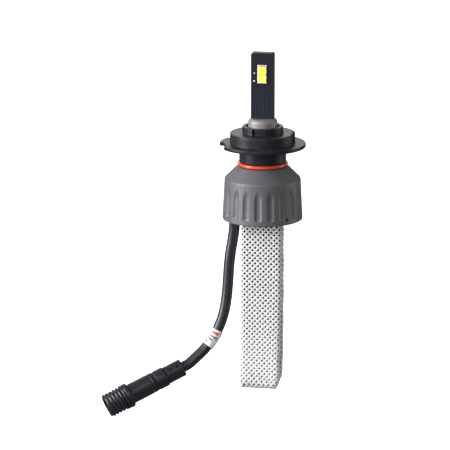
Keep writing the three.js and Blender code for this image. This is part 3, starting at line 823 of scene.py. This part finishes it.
def add_connector(path):
    rotation = Vector((0, 0, 1)).rotation_difference(CONNECTOR_DIRECTION).to_matrix().to_4x4()
    place = Matrix.Translation(Vector(path[-1]) + CONNECTOR_DIRECTION * 0.3 * MM) @ rotation
    made = []

    def part(name, corners, sides, material, slot, node, step=1.0, shape=None, steps=5, shift=0.0):
        profile = refined(rounded(corners, steps), step, loop=False)
        points, faces = turned(profile, sides, shape)
        points[:, 0] += shift
        made.append(piece(name, points, faces, material, slot, stands_for=[node], place=place))

    toward = rotation.inverted() @ Vector((0.05, -0.85, 0.55))
    hole_angle = math.atan2(toward.y, toward.x)

    def sleeve_shape(radius, height, angle):
        """Two small moulding holes in a row on the front of the sleeve."""
        across = RELIEF_RADIUS * ((angle - hole_angle + np.pi) % (2 * np.pi) - np.pi)
        for place_along in RELIEF_HOLES:
            hole = np.hypot(across, height - place_along) < RELIEF_HOLE_RADIUS
            radius = np.where(hole & (radius > RELIEF_RADIUS - 0.05), radius - 0.9, radius)
        return radius, height

    part("relief_sleeve", [
        (0.01, 0, 0), (2.15, 0, 0.05), (2.2, 0.12, 0.05), (RELIEF_RADIUS, 0.12, 0.32),
        (RELIEF_RADIUS, RELIEF_LENGTH, 0.12), (0.01, RELIEF_LENGTH, 0),
    ], 224, nylon, "cable_black", "strain_relief", step=0.12, shape=sleeve_shape)
    part("connector_neck", [
        (0.01, 7.5, 0), (3.85, 7.5, 0.4), (3.85, 11.6, 0.1), (3.6, 11.75, 0.08), (3.6, 12.1, 0.08),
        (3.85, 12.25, 0.1), (3.85, 12.6, 0.1), (0.01, 12.6, 0),
    ], 128, nylon, "plug_black", "connector_backshell")
    part("threaded_shell", [
        (0.01, 12.9, 0), (3.75, 12.9, 0.1), (4.0, 13.1, 0.1), (4.0, 13.6, 0.1), (3.7, 13.75, 0.08),
        (3.7, 14.0, 0.08), (3.9, 14.2, 0.1), (3.92, 22.8, 0.15), (4.9, 23.2, 0.25), (4.9, 24.8, 0.3),
        (THREAD_ROOT, THREAD_START, 0.15), (THREAD_ROOT, SHELL_END, 0.1), (SHELL_BORE, SHELL_END, 0.15),
        (SHELL_BORE, 19.7, 0.1), (0.01, 19.7, 0),
    ], 160, nylon, "plug_black", "connector_shell", step=0.14, shape=shell_shape)
    for sign, name in ((-1, "positive"), (1, "negative")):
        part(f"contact_{name}", [
            (0.01, 20.9, 0), (0.5, 20.9, 0), (0.5, 31.5, 0.35), (0.01, 31.5, 0),
        ], 32, brass, "contact_brass", f"contact_pin_{name}", shift=sign * PIN_X)
    points, faces = torus(4.65, 0.34, THREAD_START + 0.2, 128, 16)
    made.append(piece("seal_washer", points, faces, sheath, "cable_black", stands_for=["connector_seal"],
                      place=place))
    return made


def add_grommet():
    profile = rounded([(0.01, -29.9, 0), (2.3, -29.9, 0.3), (2.3, -25.2, 0.5), (0.01, -25.2, 0)])
    points, faces = turned(profile, 64)
    points[:, 0] += CABLE_ROUTE[0][0] / MM
    piece("entry_grommet", points, faces, sheath, "cable_black", stands_for=["cable_grommet"])


# Scene

def add_light(name, place, size, power, color=(1, 1, 1)):
    data = bpy.data.lights.new(name, "AREA")
    data.shape = "RECTANGLE"
    data.size, data.size_y = size
    data.energy = power
    data.color = color
    light = bpy.data.objects.new(name, data)
    light.location = place
    aim = Vector((-0.008, 0, -0.03)) - Vector(place)
    light.rotation_mode = "QUATERNION"
    light.rotation_quaternion = aim.to_track_quat("-Z", "Y")
    scene.collection.objects.link(light)


def add_studio():
    world = bpy.data.worlds.new("world")
    scene.world = world
    world.use_nodes = True
    world.node_tree.nodes["Background"].inputs["Color"].default_value = (0.96, 0.98, 1, 1)
    world.node_tree.nodes["Background"].inputs["Strength"].default_value = 0.22
    add_light("key", (-0.85, -0.45, 0.3), (0.4, 0.9), 19)
    add_light("front", (-0.1, -1.2, 0.5), (0.7, 0.5), 6)
    add_light("side", (1.0, 0.3, 0.1), (0.5, 0.8), 3)
    add_light("back", (-0.3, 1.0, 0.5), (0.6, 0.6), 2.5)
    reach = 60
    height = -0.135
    mesh = bpy.data.meshes.new("floor")
    sides = ((-reach, -reach), (reach, -reach), (reach, reach), (-reach, reach))
    corners = [(x, y, height) for x, y in sides]
    mesh.from_pydata(corners, [], [(0, 1, 2, 3)])
    material = bpy.data.materials.new("floor")
    material.use_nodes = True
    surface = material.node_tree.nodes["Principled BSDF"]
    surface.inputs["Base Color"].default_value = (0.9, 0.9, 0.9, 1)
    surface.inputs["Roughness"].default_value = 0.9
    surface.inputs["Emission Color"].default_value = (1, 1, 1, 1)
    surface.inputs["Emission Strength"].default_value = 0.9
    mesh.materials.append(material)
    floor = bpy.data.objects.new("floor", mesh)
    floor.visible_glossy = False
    floor.visible_diffuse = False
    scene.collection.objects.link(floor)
    scene.view_settings.view_transform = "Standard"


def dress(names, material, bevel=0.0):
    """Gives CAD nodes that stay a material and, where asked, softened edges."""
    for name in names:
        node = nodes[name]
        node.data.materials.clear()
        node.data.materials.append(material)
        if bevel:
            add_bevel(node, bevel)


add_camera()
cable, cable_path = add_cable()
label = add_label(cable_path)
on_cable = [label, *add_connector(cable_path), nodes["connector_insert"]]
add_emitter("front", 0)
add_emitter("rear", math.pi)
add_spigot()
add_collar()
points, faces = torus(9, 0.72, -8, 240, 32)
piece("seal", points, faces, seal_red, "seal_red", "seal", stands_for=["seal_ring"])
add_housing()
add_grommet()
add_braid()
dress(["emitter_core"], dull_copper, 0.12)
dress(["front_led_board", "rear_led_board"], solder_mask, 0.1)
dress(["bottom_cover"], grey_anodised, 0.12)
dress(["clamp_plate_front", "clamp_plate_rear", "clamp_screw_left", "clamp_screw_right"], steel, 0.08)
# The set screw's near-black tone is partly its black oxide and partly painted shade for the inside of its
# hole.
dress(["set_screw"], bore_black, 0.05)
dress(["lead_wire_positive"], lead_red)
dress(["lead_wire_negative"], lead_black)
dress(["connector_insert"], bore_black, 0.06)
add_studio()
